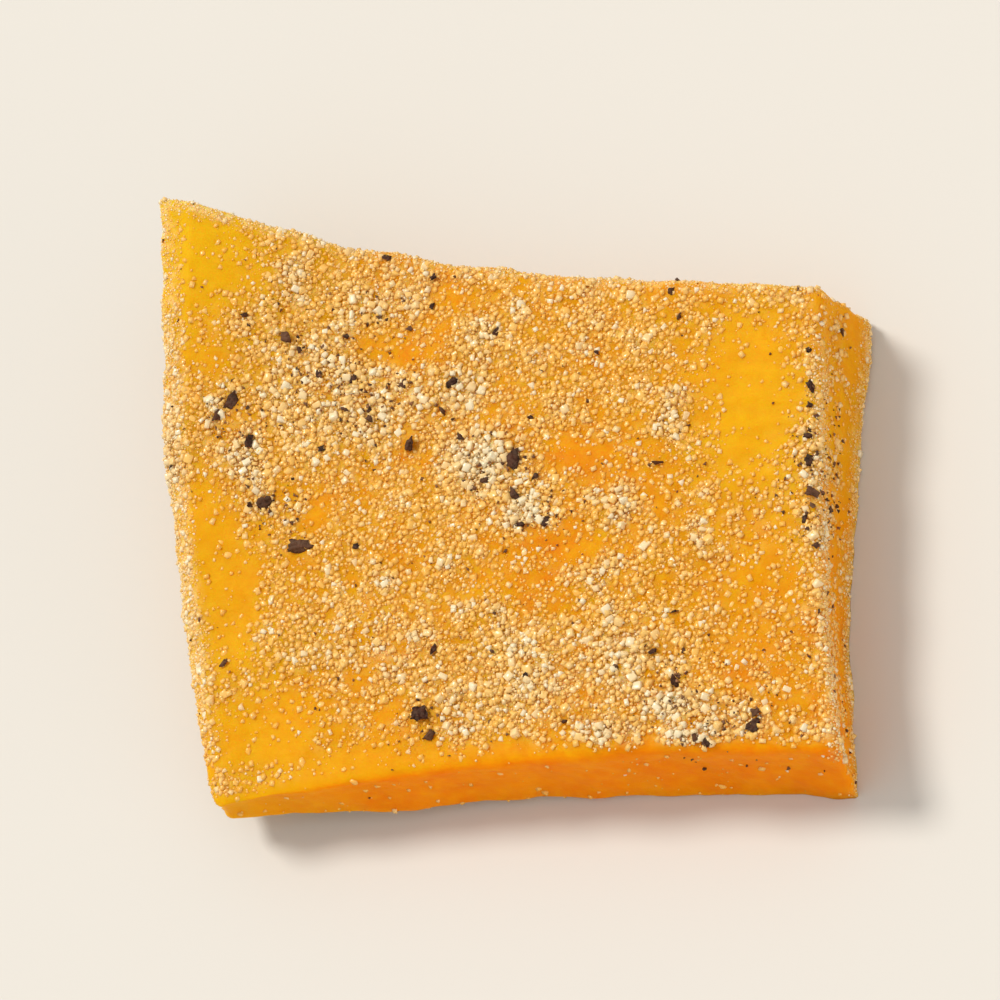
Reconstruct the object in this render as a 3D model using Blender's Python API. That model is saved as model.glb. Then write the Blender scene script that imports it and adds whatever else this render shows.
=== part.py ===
"""Dried mango: one square-cut slab of soft dried mango, sugared and peppered, lying on its flat underside.

Metres, +Z up. X runs along the front cut, Y goes back, and the origin is under the middle of the piece.
The left corner at the back has dried thin and curls up. The other three lie almost flat.

A place on the cut face is a pair (u, v): u goes from -1 at the left to 1 at the right, and v from -1 at
the front to 1 at the back. The third number w goes from -1 at the underside to 1 at the cut face.
"""

import math
import random

import bmesh
import bpy
from mathutils import Euler, Matrix, Vector, noise
from mathutils.bvhtree import BVHTree

MM = 0.001

# Corners of the cut face, before the drying bowed its sides.
BACK_LEFT = Vector((-21.4, 16.1)) * MM
BACK_RIGHT = Vector((16.6, 9.1)) * MM
FRONT_RIGHT = Vector((19.6, -15.9)) * MM
FRONT_LEFT = Vector((-15.2, -17.7)) * MM

# How far the middle of each side has moved while drying. Towards +X or +Y is positive.
BACK_BOW = -0.9 * MM
FRONT_BOW = 0.9 * MM
LEFT_BOW = -1.2 * MM
RIGHT_BOW = -0.5 * MM

THICKNESS = 5.75 * MM
CROWN = 0.35 * MM
# The share of the thickness that two corners have lost.
THIN_BACK_LEFT = 0.26
THIN_FRONT_LEFT = 0.62
# The left edge is the fruit's own: the cut face slopes down to it, less at its front end than at its back.
# The width is in u.
LEFT_SLOPE_WIDTH = 0.12
LEFT_SLOPE_DROP = 1.25 * MM
LEFT_SLOPE_AT_FRONT = 0.35

# The edges are rounded on a plain block of about the slab's size, which is then bent to shape.
BLOCK_HALF = Vector((18.0 * MM, 14.5 * MM, THICKNESS / 2))
RIM_RADIUS = 0.55 * MM

# How much wider the slab is at its underside, and how hollow its sides are. The right side leans in at its
# front end, and the front one stands upright at its left end.
FLARE_RIGHT_BACK = 1.0 * MM
FLARE_RIGHT_FRONT = -0.7 * MM
FLARE_FRONT = 1.0 * MM
FLARE_REST = 0.3 * MM
SIDE_HOLLOW = 0.22 * MM
SIDE_SHARPNESS = 9

# How far the drying has lifted three corners, and the middle of the front.
BACK_LEFT_CURL = 5.6 * MM
BACK_RIGHT_CURL = 0.7 * MM
FRONT_LEFT_CURL = 2.7 * MM
FRONT_ARCH = 0.35 * MM

# The relief of the dried flesh: how deep each kind is, and how far apart its bumps are.
SWELL_DEPTH, SWELL_PITCH = 0.34 * MM, 8.0 * MM
LUMP_DEPTH, LUMP_PITCH = 0.20 * MM, 2.6 * MM
SWELL_OFFSET = Vector((3.1, 7.7, 1.9))
LUMP_OFFSET = Vector((9.4, 2.3, 5.2))
# What the piece's own weight has pressed flat underneath.
REST_FLAT = 0.40 * MM

# Cells along X, Y and Z, and how much they crowd towards the rim.
CELLS = (32, 28, 6)
CROWDING = 0.8

# The largest grains of the coating.
PEPPER_SEED, SUGAR_SEED = 11, 23
PEPPER_COUNT, SUGAR_COUNT = 32, 150
PEPPER_SIZE = (0.50 * MM, 0.85 * MM)
SUGAR_SIZE = (0.55 * MM, 0.95 * MM)
GRAIN_GAP = 0.30 * MM
# How far out of the flesh a grain's middle lies, as a share of its size.
GRAIN_OUT = -0.02
# The cut face takes most of the grains, as far as FACE_REACH of the way to its edges.
SIDE_SHARE = 0.22
FACE_REACH = 0.96
SIDE_REACH = 0.9
SIDE_HEIGHTS = (0.15, 0.85)
MOST_TRIES = 4000
# How far outside a side, as a share of its distance from the origin, and how high over the cut face the
# rays start that find a grain's place.
RAY_OUTSIDE = 1.6
RAY_ABOVE = 4 * THICKNESS

# A grain's shares of its size: how far its corners lie from its middle, its breadth and its height. A bit
# of pepper starts as a ball of its size, and a crystal of sugar as a cube of a share of it.
PEPPER_CORNERS = (0.72, 1.08)
PEPPER_BREADTH, PEPPER_HEIGHT = (0.62, 0.90), (0.60, 0.85)
SUGAR_CUBE = 0.8
SUGAR_CORNERS = (0.82, 1.08)
SUGAR_BREADTH, SUGAR_HEIGHT = (0.7, 1.0), (0.7, 1.0)

# How often a grain of the sides lies on each of them. The front one was cut last and stayed clean.
SIDES = ("right", "back", "left", "front")
SIDE_WEIGHTS = (5, 3, 3, 1)

# The biggest bits of pepper on the cut face: u, v and width.
BIG_PEPPER = (
    (-0.76, 0.34, 1.00 * MM),
    (-0.82, 0.28, 0.65 * MM),
    (-0.72, 0.21, 0.70 * MM),
    (-0.68, -0.01, 1.05 * MM),
    (-0.58, -0.17, 1.30 * MM),
    (-0.59, 0.60, 0.80 * MM),
    (-0.22, 0.24, 0.95 * MM),
    (-0.09, 0.50, 0.80 * MM),
    (0.09, 0.18, 1.10 * MM),
    (0.09, 0.05, 1.00 * MM),
    (0.00, 0.10, 0.60 * MM),
    (-0.28, -0.79, 1.05 * MM),
    (-0.26, -0.87, 0.85 * MM),
    (0.53, -0.71, 0.85 * MM),
    (0.75, -0.90, 0.85 * MM),
    (0.97, 0.23, 1.00 * MM),
    (0.97, 0.09, 0.85 * MM),
    (0.98, 0.54, 0.60 * MM),
)

# Where pepper lies thickest on the cut face: u, v and radius.
PEPPER_DRIFTS = (
    (-0.77, 0.28, 0.12),
    (-0.66, -0.03, 0.12),
    (-0.42, 0.48, 0.22),
    (0.06, 0.12, 0.16),
    (-0.27, -0.82, 0.10),
    (0.60, -0.82, 0.22),
    (0.97, 0.15, 0.12),
)
PEPPER_BETWEEN = 0.10

# Sugar hardly sticks to the curled corner, nor to a patch by the right edge.
CURLED_BARE = 0.78
BARE_PATCH = (0.80, 0.55)
BARE_PATCH_RADII = (0.16, 0.34)
SUGAR_ON_BARE = 0.05


def clear_scene():
    for old in list(bpy.data.objects):
        bpy.data.objects.remove(old, do_unlink=True)


def new_collection(name):
    made = bpy.data.collections.new(name)
    bpy.context.scene.collection.children.link(made)
    return made


def flesh_material():
    material = bpy.data.materials.new("dried_mango_flesh")
    material.use_nodes = True
    surface = material.node_tree.nodes["Principled BSDF"]
    surface.inputs["Base Color"].default_value = (0.82, 0.37, 0.035, 1.0)
    surface.inputs["Roughness"].default_value = 0.5
    surface.inputs["Metallic"].default_value = 0.0
    return material


def crowded(t):
    """Moves an even grid's lines towards both ends, so that the rim gets short cells."""
    reach = CROWDING * math.pi / 2
    return math.sin(t * reach) / math.sin(reach)


def block():
    """A cube from -1 to 1 whose faces are cut into CELLS."""
    bm = bmesh.new()
    bmesh.ops.create_cube(bm, size=2.0)
    for axis, cells in enumerate(CELLS):
        along = [e for e in bm.edges if abs((e.verts[0].co - e.verts[1].co)[axis]) > 1.0]
        bmesh.ops.subdivide_edges(bm, edges=along, cuts=cells - 1, use_grid_fill=True)
    for vert in bm.verts:
        vert.co = Vector([crowded(t) for t in vert.co])
    return bm


def share(t, power):
    """0 at t = -1 and 1 at t = 1, rising late if the power is high."""
    return ((1.0 + t) / 2.0) ** power


def bulge(t):
    """1 in the middle, falling to 0 at both ends."""
    return max(0.0, 1.0 - t * t)


def rounded(co):
    """Rounds the edges of the unit block to RIM_RADIUS, as if it already had its real size."""
    point = Vector([c * h for c, h in zip(co, BLOCK_HALF)])
    core = Vector([max(RIM_RADIUS - h, min(h - RIM_RADIUS, p)) for p, h in zip(point, BLOCK_HALF)])
    outward = point - core
    if outward.length > 0.0:
        point = core + outward.normalized() * RIM_RADIUS
    return [p / h for p, h in zip(point, BLOCK_HALF)]


def plan(u, v):
    """The place on the cut face: the four corners, and the bow of the sides between them."""
    front = FRONT_LEFT.lerp(FRONT_RIGHT, share(u, 1))
    back = BACK_LEFT.lerp(BACK_RIGHT, share(u, 1))
    place = front.lerp(back, share(v, 1))
    place.x += bulge(v) * (LEFT_BOW * share(-u, 1) + RIGHT_BOW * share(u, 1))
    place.y += bulge(u) * (FRONT_BOW * share(-v, 1) + BACK_BOW * share(v, 1))
    return place


def lift(u, v):
    """How far the curl raises the slab there."""
    back_left = BACK_LEFT_CURL * share(-u, 4) * share(v, 2.2)
    back_right = BACK_RIGHT_CURL * share(u, 3) * share(v, 3)
    front_left = FRONT_LEFT_CURL * share(-u, 3) * share(-v, 3)
    front = FRONT_ARCH * bulge(u) * share(-v, 3)
    return back_left + back_right + front_left + front


def left_slope(u, v):
    """How far the cut face has dropped towards the left edge."""
    size = LEFT_SLOPE_AT_FRONT + (1.0 - LEFT_SLOPE_AT_FRONT) * share(v, 1)
    return size * LEFT_SLOPE_DROP * max(0.0, 1.0 - (1.0 + u) / (size * LEFT_SLOPE_WIDTH))


def thickness(u, v):
    back_left = THIN_BACK_LEFT * share(-u, 2) * share(v, 2)
    front_left = THIN_FRONT_LEFT * share(-u, 2) * share(-v, 3)
    whole = THICKNESS * (1.0 - back_left - front_left) + CROWN * bulge(u) * bulge(v)
    return whole - left_slope(u, v)


def slab_point(co):
    """Where a point of the unit block lies on the real slab."""
    u, v, w = rounded(co)
    place = plan(u, v)
    low = share(-w, 1)
    right = FLARE_RIGHT_FRONT + (FLARE_RIGHT_BACK - FLARE_RIGHT_FRONT) * share(v, 2)
    place.x += u * low * (right if u > 0.0 else FLARE_REST)
    place.y += v * low * (FLARE_FRONT * share(u, 1) if v < 0.0 else FLARE_REST)
    place.x -= SIDE_HOLLOW * bulge(w) * u**SIDE_SHARPNESS
    place.y -= SIDE_HOLLOW * bulge(w) * v**SIDE_SHARPNESS
    return Vector((place.x, place.y, lift(u, v) + share(w, 1) * thickness(u, v)))


def relief(point):
    """The height of the dried flesh's swells and lumps there."""
    swell = noise.noise(point / SWELL_PITCH + SWELL_OFFSET)
    lump = noise.noise(point / LUMP_PITCH + LUMP_OFFSET)
    return SWELL_DEPTH * swell + LUMP_DEPTH * lump


def slab():
    """The bare piece of mango, with its underside flattened where it rests."""
    bm = block()
    for vert in bm.verts:
        vert.co = slab_point(vert.co)
    bm.normal_update()
    moves = [vert.normal * relief(vert.co) for vert in bm.verts]
    for vert, move in zip(bm.verts, moves):
        vert.co += move
        vert.co.z = max(vert.co.z, REST_FLAT)
    bmesh.ops.translate(bm, verts=bm.verts, vec=(0.0, 0.0, -REST_FLAT))
    bmesh.ops.triangulate(bm, faces=bm.faces)
    return bm


def pepper_chance(u, v):
    """1 in the middle of a drift, falling to the thin scatter between them."""
    nearest = min(math.hypot(u - x, v - y) / radius for x, y, radius in PEPPER_DRIFTS)
    return max(PEPPER_BETWEEN, math.exp(-nearest * nearest))


def sugar_chance(u, v):
    """Sugar is even but for the curled corner and the bare patch."""
    curled = share(-u, 1) * share(v, 1) > CURLED_BARE
    across = (u - BARE_PATCH[0]) / BARE_PATCH_RADII[0]
    along = (v - BARE_PATCH[1]) / BARE_PATCH_RADII[1]
    return SUGAR_ON_BARE if curled or math.hypot(across, along) < 1.0 else 1.0


def pepper_bit(rng, size):
    """A crushed flake of peppercorn: a rough ball, flattened and broken."""
    bm = bmesh.new()
    bmesh.ops.create_icosphere(bm, subdivisions=1, radius=size / 2)
    for vert in bm.verts:
        vert.co *= rng.uniform(*PEPPER_CORNERS)
    flattened = (1.0, rng.uniform(*PEPPER_BREADTH), rng.uniform(*PEPPER_HEIGHT))
    bmesh.ops.scale(bm, vec=flattened, verts=bm.verts)
    return bm


def sugar_crystal(rng, size):
    """A grain of sugar: a small block with uneven corners."""
    bm = bmesh.new()
    bmesh.ops.create_cube(bm, size=size * SUGAR_CUBE)
    for vert in bm.verts:
        vert.co *= rng.uniform(*SUGAR_CORNERS)
    flattened = (1.0, rng.uniform(*SUGAR_BREADTH), rng.uniform(*SUGAR_HEIGHT))
    bmesh.ops.scale(bm, vec=flattened, verts=bm.verts)
    bmesh.ops.triangulate(bm, faces=bm.faces)
    return bm


def side_ray(rng):
    """A ray that meets one of the sides from outside, between its top and bottom edges."""
    side = rng.choices(SIDES, weights=SIDE_WEIGHTS)[0]
    along, high = rng.uniform(-SIDE_REACH, SIDE_REACH), rng.uniform(*SIDE_HEIGHTS)
    u, v = {"right": (1, along), "left": (-1, along), "back": (along, 1), "front": (along, -1)}[side]
    edge = plan(u, v).to_3d()
    height = Vector((0.0, 0.0, lift(u, v) + high * thickness(u, v) - REST_FLAT))
    return edge * RAY_OUTSIDE + height, -edge.normalized()


def down_ray(u, v):
    """A ray down onto the cut face."""
    return plan(u, v).to_3d() + Vector((0.0, 0.0, RAY_ABOVE)), Vector((0.0, 0.0, -1.0))


def face_ray(rng, chance):
    """A ray down onto the cut face, at a place drawn by its chance."""
    for _ in range(MOST_TRIES):
        u, v = rng.uniform(-FACE_REACH, FACE_REACH), rng.uniform(-FACE_REACH, FACE_REACH)
        if rng.random() < chance(u, v):
            break
    return down_ray(u, v)


def set_grain(bm, rng, hit, normal, size):
    """Turns a grain at random and sets it into the flesh at the hit."""
    turn = Euler([rng.uniform(0.0, math.tau) for _ in range(3)])
    bmesh.ops.transform(bm, matrix=turn.to_matrix().to_4x4(), verts=bm.verts)
    bmesh.ops.translate(bm, vec=hit + normal * size * GRAIN_OUT, verts=bm.verts)


def lay(name, shape, ray, size, rng, tree, taken, grains):
    """Lays one grain where the ray meets the slab, unless it would touch the ground or another grain."""
    hit, normal, _, _ = tree.ray_cast(*ray)
    if hit is None or hit.z < size:
        return False
    if any((hit - other).length < (size + width) / 2 + GRAIN_GAP for other, width in taken):
        return False
    bm = shape(rng, size)
    set_grain(bm, rng, hit, normal, size)
    mesh = bpy.data.meshes.new(name)
    bm.to_mesh(mesh)
    bm.free()
    grains.objects.link(bpy.data.objects.new(name, mesh))
    taken.append((hit, size))
    return True


def scatter(name, count, sizes, chance, shape, rng, tree, taken, grains):
    """Lays count grains over the slab, and the larger ones are the rarer."""
    made = 0
    for _ in range(MOST_TRIES):
        if made == count:
            break
        ray = side_ray(rng) if rng.random() < SIDE_SHARE else face_ray(rng, chance)
        size = sizes[0] + (sizes[1] - sizes[0]) * rng.random() ** 2
        made += lay(f"{name}_{made:03d}", shape, ray, size, rng, tree, taken, grains)


def lay_pepper(tree, taken, grains):
    rng = random.Random(PEPPER_SEED)
    for i, (u, v, size) in enumerate(BIG_PEPPER):
        lay(f"big_pepper_{i:02d}", pepper_bit, down_ray(u, v), size, rng, tree, taken, grains)
    scatter("pepper", PEPPER_COUNT, PEPPER_SIZE, pepper_chance, pepper_bit, rng, tree, taken, grains)


def lay_sugar(tree, taken, grains):
    rng = random.Random(SUGAR_SEED)
    scatter("sugar", SUGAR_COUNT, SUGAR_SIZE, sugar_chance, sugar_crystal, rng, tree, taken, grains)


def fuse(body, grains):
    """Joins the grains to the body, and removes their own objects."""
    join = body.modifiers.new("grains", "BOOLEAN")
    join.operation = "UNION"
    join.operand_type = "COLLECTION"
    join.collection = grains
    join.solver = "EXACT"
    graph = bpy.context.evaluated_depsgraph_get()
    joined = bpy.data.meshes.new_from_object(body.evaluated_get(graph))
    body.modifiers.clear()
    body.data = joined
    for grain in list(grains.objects):
        bpy.data.objects.remove(grain, do_unlink=True)
    bpy.data.collections.remove(grains)


def centre(body):
    """Moves the mesh so that the origin is under the middle of its box."""
    xs, ys, zs = zip(*(vert.co for vert in body.data.vertices))
    middle = Vector(((min(xs) + max(xs)) / 2, (min(ys) + max(ys)) / 2, min(zs)))
    body.data.transform(Matrix.Translation(-middle))


def main():
    clear_scene()
    parts = new_collection("dried_mango")
    grains = new_collection("grains")
    bm = slab()
    tree = BVHTree.FromBMesh(bm)
    mesh = bpy.data.meshes.new("dried_mango_piece")
    bm.to_mesh(mesh)
    bm.free()
    body = bpy.data.objects.new("dried_mango_piece", mesh)
    parts.objects.link(body)
    taken = []
    lay_pepper(tree, taken, grains)
    lay_sugar(tree, taken, grains)
    fuse(body, grains)
    centre(body)
    body.data.materials.clear()
    body.data.materials.append(flesh_material())


main()
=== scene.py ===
"""Dried mango, dressed: soft golden flesh under a crust of sugar, with crushed pepper strewn over it.

Metres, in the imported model's frame. A place on the cut face is a pair (u, v): u goes from -1 at the left to
1 at the right, and v from -1 at the front to 1 at the back. w goes from -1 at the underside to 1 at the cut
face.
"""

import math

import bmesh
import bpy
import numpy as np
from mathutils import Matrix, Vector, noise
from mathutils.kdtree import KDTree


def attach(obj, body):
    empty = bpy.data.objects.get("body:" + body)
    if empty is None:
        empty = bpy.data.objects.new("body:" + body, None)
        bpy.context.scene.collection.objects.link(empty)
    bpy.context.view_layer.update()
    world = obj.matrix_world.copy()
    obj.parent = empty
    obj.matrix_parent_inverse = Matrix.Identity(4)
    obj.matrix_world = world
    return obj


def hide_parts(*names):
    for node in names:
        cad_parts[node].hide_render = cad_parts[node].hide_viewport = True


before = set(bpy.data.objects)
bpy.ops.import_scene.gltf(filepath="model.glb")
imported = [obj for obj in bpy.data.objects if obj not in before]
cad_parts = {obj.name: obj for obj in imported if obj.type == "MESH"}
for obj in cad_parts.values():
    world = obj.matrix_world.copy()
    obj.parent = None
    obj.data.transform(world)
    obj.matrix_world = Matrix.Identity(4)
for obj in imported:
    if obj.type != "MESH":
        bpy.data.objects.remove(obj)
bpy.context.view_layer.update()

MM = 0.001

# The piece's form, as the solid has it.
BACK_LEFT = np.array((-21.4, 16.1)) * MM
BACK_RIGHT = np.array((16.6, 9.1)) * MM
FRONT_RIGHT = np.array((19.6, -15.9)) * MM
FRONT_LEFT = np.array((-15.2, -17.7)) * MM
BACK_BOW = -0.9 * MM
FRONT_BOW = 0.9 * MM
LEFT_BOW = -1.2 * MM
RIGHT_BOW = -0.5 * MM
THICKNESS = 5.75 * MM
CROWN = 0.35 * MM
THIN_BACK_LEFT = 0.26
THIN_FRONT_LEFT = 0.62
LEFT_SLOPE_WIDTH = 0.12
LEFT_SLOPE_DROP = 1.25 * MM
LEFT_SLOPE_AT_FRONT = 0.35
BLOCK_HALF = np.array((18.0 * MM, 14.5 * MM, THICKNESS / 2))
RIM_RADIUS = 0.55 * MM
FLARE_RIGHT_BACK = 1.0 * MM
FLARE_RIGHT_FRONT = -0.7 * MM
FLARE_FRONT = 1.0 * MM
FLARE_REST = 0.3 * MM
SIDE_HOLLOW = 0.22 * MM
SIDE_SHARPNESS = 9
BACK_LEFT_CURL = 5.6 * MM
BACK_RIGHT_CURL = 0.7 * MM
FRONT_LEFT_CURL = 2.7 * MM
FRONT_ARCH = 0.35 * MM
SWELL_DEPTH, SWELL_PITCH = 0.34 * MM, 8.0 * MM
LUMP_DEPTH, LUMP_PITCH = 0.20 * MM, 2.6 * MM
SWELL_OFFSET = (3.1, 7.7, 1.9)
LUMP_OFFSET = (9.4, 2.3, 5.2)
REST_FLAT = 0.40 * MM
# The middle of the solid's box, in the coordinates of the corners above.
MIDDLE = np.array((-1.0952, -0.7452, 0.0)) * MM

# The fine relief that the solid leaves out.
CELLS = (170, 150, 28)
CROWDING = 0.55
WRINKLE_DEPTH, WRINKLE_PITCH = 0.06 * MM, np.array((3.4, 1.1, 1.6)) * MM
PIT_DEPTH, PIT_PITCH = 0.05 * MM, 0.8 * MM
WRINKLE_OFFSET = (1.7, 5.1, 8.8)
PIT_OFFSET = (6.3, 0.4, 2.2)

# Where the flesh is thin or pale, and so yellower, partly as painted glow: u, v, the two radii, and how much.
THIN_GLOW_SPOTS = (
    (-1.0, 1.0, 0.45, 0.60, 1.0),
    (-0.85, -1.0, 0.60, 0.25, 0.6),
    (0.85, 0.45, 0.30, 0.60, 0.6),
    (-0.95, -0.30, 0.30, 0.60, 0.6),
)

# Painted shade, as deeper orange, on a side: on all of them, at the right side's back end, and what its front
# end adds.
SIDE_SHADE_ANY = 0.12
SIDE_SHADE_RIGHT, SIDE_SHADE_RIGHT_FRONT = 0.20, 0.38

# The bands of u, v or w over which a side or a rim begins, from its inner to its outer border.
RIM_BAND = (0.955, 0.985)
SIDE_BAND = (0.97, 0.99)
LEFT_BAND = (0.90, 0.94)
BACK_BAND = (0.935, 0.975)
# The corner's band also places a painted highlight on the back-left corner's rim.
CORNER_HIGHLIGHT_BAND = (0.94, 0.97)

# How thick the fine crust is on the left slope, at the rims, and round the thin corner, whose paler rim is
# also a painted highlight.
CRUST_LEFT, CRUST_RIGHT_TOP, CRUST_RIGHT_LOW, CRUST_BACK, CORNER_CRUST_AND_HIGHLIGHT = 0.65, 0.7, 0.6, 0.6, 0.75

# The sugar between the heaps: how thick it is, what it loses at the rims, and how far broad and tight noise
# move it. COVER_LEAST is left where the noise is lowest, and COVER_TRACE even where nearly all is missing.
COVER_MEAN, COVER_RIM_LOSS = 0.58, 0.32
BROAD_DEPTH, BROAD_PITCH, BROAD_OFFSET = 0.35, 3.4 * MM, (2.0, 4.0, 6.0)
TIGHT_DEPTH, TIGHT_PITCH, TIGHT_OFFSET = 0.75, 1.1 * MM, (7.0, 1.0, 3.0)
COVER_LEAST, COVER_TRACE = 0.04, 0.008
# What a heap adds, and the share that is missing underneath, on the right side and on the front side.
HEAP_ADDS = 0.6
UNDERSIDE_LOSS, RIGHT_LOSS, FRONT_LOSS = 0.6, 0.6, 0.97

# The small clumps all over, and how ragged the heaps are.
CLUMP_PITCH = 1.5 * MM
CLUMP_AMOUNT, CLUMP_RISE, CLUMP_OFFSET = 0.60, (0.22, 0.50), (4.2, 9.1, 0.6)
RAGGEDNESS, RAGGED_OFFSET = 0.6, (1.3, 2.8, 7.5)

# The pepper between the drifts: its least, what noise adds, and what the front and bare patches lose.
PEPPER_LEAST, PEPPER_VARIES = 0.03, 0.10
PEPPER_PITCH, PEPPER_OFFSET = 5.0 * MM, (5.0, 5.0, 1.0)
PEPPER_FRONT_LOSS, PEPPER_BARE_LOSS = 0.8, 0.7
# How far sugar stays off a big bit of pepper, as a share of the bit's length and breadth together.
PEPPER_CLEARING = (0.16, 0.26)

# The biggest bits of pepper on the cut face: u, v, length, breadth, and which way they point in degrees.
BIG_PEPPER = (
    (-0.76, 0.34, 1.20 * MM, 0.95 * MM, 30),
    (-0.82, 0.28, 0.75 * MM, 0.50 * MM, 60),
    (-0.72, 0.21, 0.80 * MM, 0.60 * MM, 100),
    (-0.68, -0.01, 1.15 * MM, 0.90 * MM, 150),
    (-0.58, -0.17, 1.60 * MM, 0.80 * MM, -15),
    (-0.59, 0.60, 1.00 * MM, 0.70 * MM, -40),
    (-0.22, 0.24, 1.00 * MM, 0.85 * MM, 20),
    (-0.09, 0.50, 1.00 * MM, 0.65 * MM, 40),
    (0.09, 0.18, 1.40 * MM, 0.75 * MM, 95),
    (0.09, 0.05, 1.10 * MM, 0.65 * MM, 125),
    (0.00, 0.10, 0.70 * MM, 0.50 * MM, 0),
    (-0.28, -0.79, 1.10 * MM, 0.90 * MM, 0),
    (-0.26, -0.87, 0.90 * MM, 0.70 * MM, 60),
    (0.53, -0.71, 0.80 * MM, 0.65 * MM, 80),
    (0.75, -0.90, 1.05 * MM, 0.65 * MM, 65),
    (0.97, 0.23, 1.00 * MM, 0.85 * MM, 20),
    (0.97, 0.09, 0.90 * MM, 0.75 * MM, 100),
    (0.98, 0.54, 0.75 * MM, 0.55 * MM, 110),
)

# The places of the smaller bits that stand out on the cut face: u and v.
SMALL_PEPPER = (
    (-0.50, 0.48), (-0.24, 0.48), (-0.16, 0.80), (-0.16, 0.92), (-0.31, 0.96), (-0.22, 0.69), (0.03, 0.23),
    (-0.73, 0.06), (-0.49, 0.20), (-0.40, 0.48), (0.04, 0.71), (0.11, -0.08), (0.18, -0.06), (-0.41, -0.16),
    (0.55, -0.43), (0.47, -0.59), (0.35, -0.66), (0.08, -0.68), (0.76, -0.85), (0.57, -0.95), (0.61, -0.98),
    (0.53, 0.20), (-0.20, -0.56), (0.57, 0.94), (0.15, 0.38), (0.98, 0.70), (0.97, 0.47), (0.98, 0.36),
    (0.96, 0.33), (0.98, 0.03), (0.95, -0.03), (0.98, -0.13),
)

# Where pepper lies thickest on the cut face: u, v and radius.
PEPPER_DRIFTS = (
    (-0.77, 0.28, 0.10),
    (-0.66, -0.03, 0.10),
    (-0.42, 0.48, 0.22),
    (0.06, 0.12, 0.13),
    (0.16, -0.04, 0.10),
    (-0.27, -0.82, 0.07),
    (0.60, -0.84, 0.20),
    (0.98, 0.48, 0.10),
    (0.98, 0.28, 0.14),
    (0.98, 0.05, 0.14),
)

# Where sugar is heaped on the cut face: u, v, the two radii, and how much.
SUGAR_HEAPS = (
    (-0.42, 0.42, 0.30, 0.22, 0.60),
    (-0.01, 0.18, 0.11, 0.13, 1.15),
    (0.13, -0.01, 0.09, 0.10, 0.95),
    (-0.76, 0.13, 0.08, 0.15, 0.90),
    (-0.06, 0.46, 0.09, 0.09, 0.80),
    (0.00, 0.68, 0.06, 0.14, 0.60),
    (-0.33, 0.79, 0.13, 0.08, 0.60),
    (0.37, -0.63, 0.13, 0.12, 0.85),
    (0.52, -0.82, 0.12, 0.10, 0.95),
    (0.28, -0.91, 0.08, 0.06, 1.10),
    (0.58, -0.93, 0.12, 0.05, 1.10),
    (0.74, -0.86, 0.08, 0.08, 0.75),
    (0.25, -0.28, 0.05, 0.04, 0.90),
    (0.08, -0.69, 0.20, 0.18, 0.50),
    (-0.35, -0.53, 0.18, 0.14, 0.45),
    (0.98, 0.84, 0.04, 0.08, 0.50),
    (0.97, 0.66, 0.04, 0.08, 0.50),
    (0.97, 0.16, 0.04, 0.05, 0.60),
    (0.97, -0.09, 0.04, 0.12, 0.50),
    (0.97, -0.46, 0.04, 0.22, 0.50),
    (0.98, -0.95, 0.05, 0.06, 0.70),
)

# Where less sugar stuck to the cut face: u, v, the two radii, and how much of it is missing.
BARE_PATCHES = (
    (-0.88, 0.86, 0.24, 0.28, 0.92),
    (-0.84, 0.56, 0.13, 0.18, 0.70),
    (0.80, 0.50, 0.18, 0.46, 0.98),
    (0.80, -0.35, 0.16, 0.60, 0.70),
    (-0.84, -0.29, 0.12, 0.46, 0.93),
    (-0.78, -0.80, 0.24, 0.18, 0.92),
    (-0.50, -0.94, 0.36, 0.10, 0.95),
    (-0.05, -0.97, 0.32, 0.06, 0.85),
    (0.30, 0.22, 0.13, 0.10, 0.88),
    (0.25, -0.15, 0.17, 0.09, 0.88),
    (-0.27, 0.61, 0.14, 0.07, 0.88),
    (0.10, -0.32, 0.20, 0.08, 0.60),
    (-0.05, 0.86, 0.16, 0.08, 0.60),
    (0.52, 0.18, 0.16, 0.14, 0.60),
)


# The form of the flesh


def share(t, power):
    """0 at t = -1 and 1 at t = 1, rising late if the power is high."""
    return (np.clip(1.0 + t, 0.0, 2.0) / 2.0) ** power


def bulge(t):
    """1 in the middle, falling to 0 at both ends."""
    return np.maximum(0.0, 1.0 - t * t)


def rounded(unit):
    """Rounds the edges of the unit block to RIM_RADIUS, as if it already had its real size."""
    point = unit * BLOCK_HALF
    core = np.clip(point, RIM_RADIUS - BLOCK_HALF, BLOCK_HALF - RIM_RADIUS)
    outward = point - core
    length = np.linalg.norm(outward, axis=1, keepdims=True)
    reach = outward / np.maximum(length, 1e-12) * RIM_RADIUS
    return np.where(length > 0.0, core + reach, point) / BLOCK_HALF


def plan(u, v):
    """The place on the cut face: the four corners, and the bow of the sides between them."""
    across, back = share(u, 1)[:, None], share(v, 1)[:, None]
    place = (FRONT_LEFT * (1 - across) + FRONT_RIGHT * across) * (1 - back)
    place += (BACK_LEFT * (1 - across) + BACK_RIGHT * across) * back
    place[:, 0] += bulge(v) * (LEFT_BOW * share(-u, 1) + RIGHT_BOW * share(u, 1))
    place[:, 1] += bulge(u) * (FRONT_BOW * share(-v, 1) + BACK_BOW * share(v, 1))
    return place


def lift(u, v):
    """How far the curl raises the slab there."""
    back_left = BACK_LEFT_CURL * share(-u, 4) * share(v, 2.2)
    back_right = BACK_RIGHT_CURL * share(u, 3) * share(v, 3)
    front_left = FRONT_LEFT_CURL * share(-u, 3) * share(-v, 3)
    return back_left + back_right + front_left + FRONT_ARCH * bulge(u) * share(-v, 3)


def left_slope(u, v):
    """How far the cut face has dropped towards the left edge."""
    size = LEFT_SLOPE_AT_FRONT + (1.0 - LEFT_SLOPE_AT_FRONT) * share(v, 1)
    return size * LEFT_SLOPE_DROP * np.maximum(0.0, 1.0 - (1.0 + u) / (size * LEFT_SLOPE_WIDTH))


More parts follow.
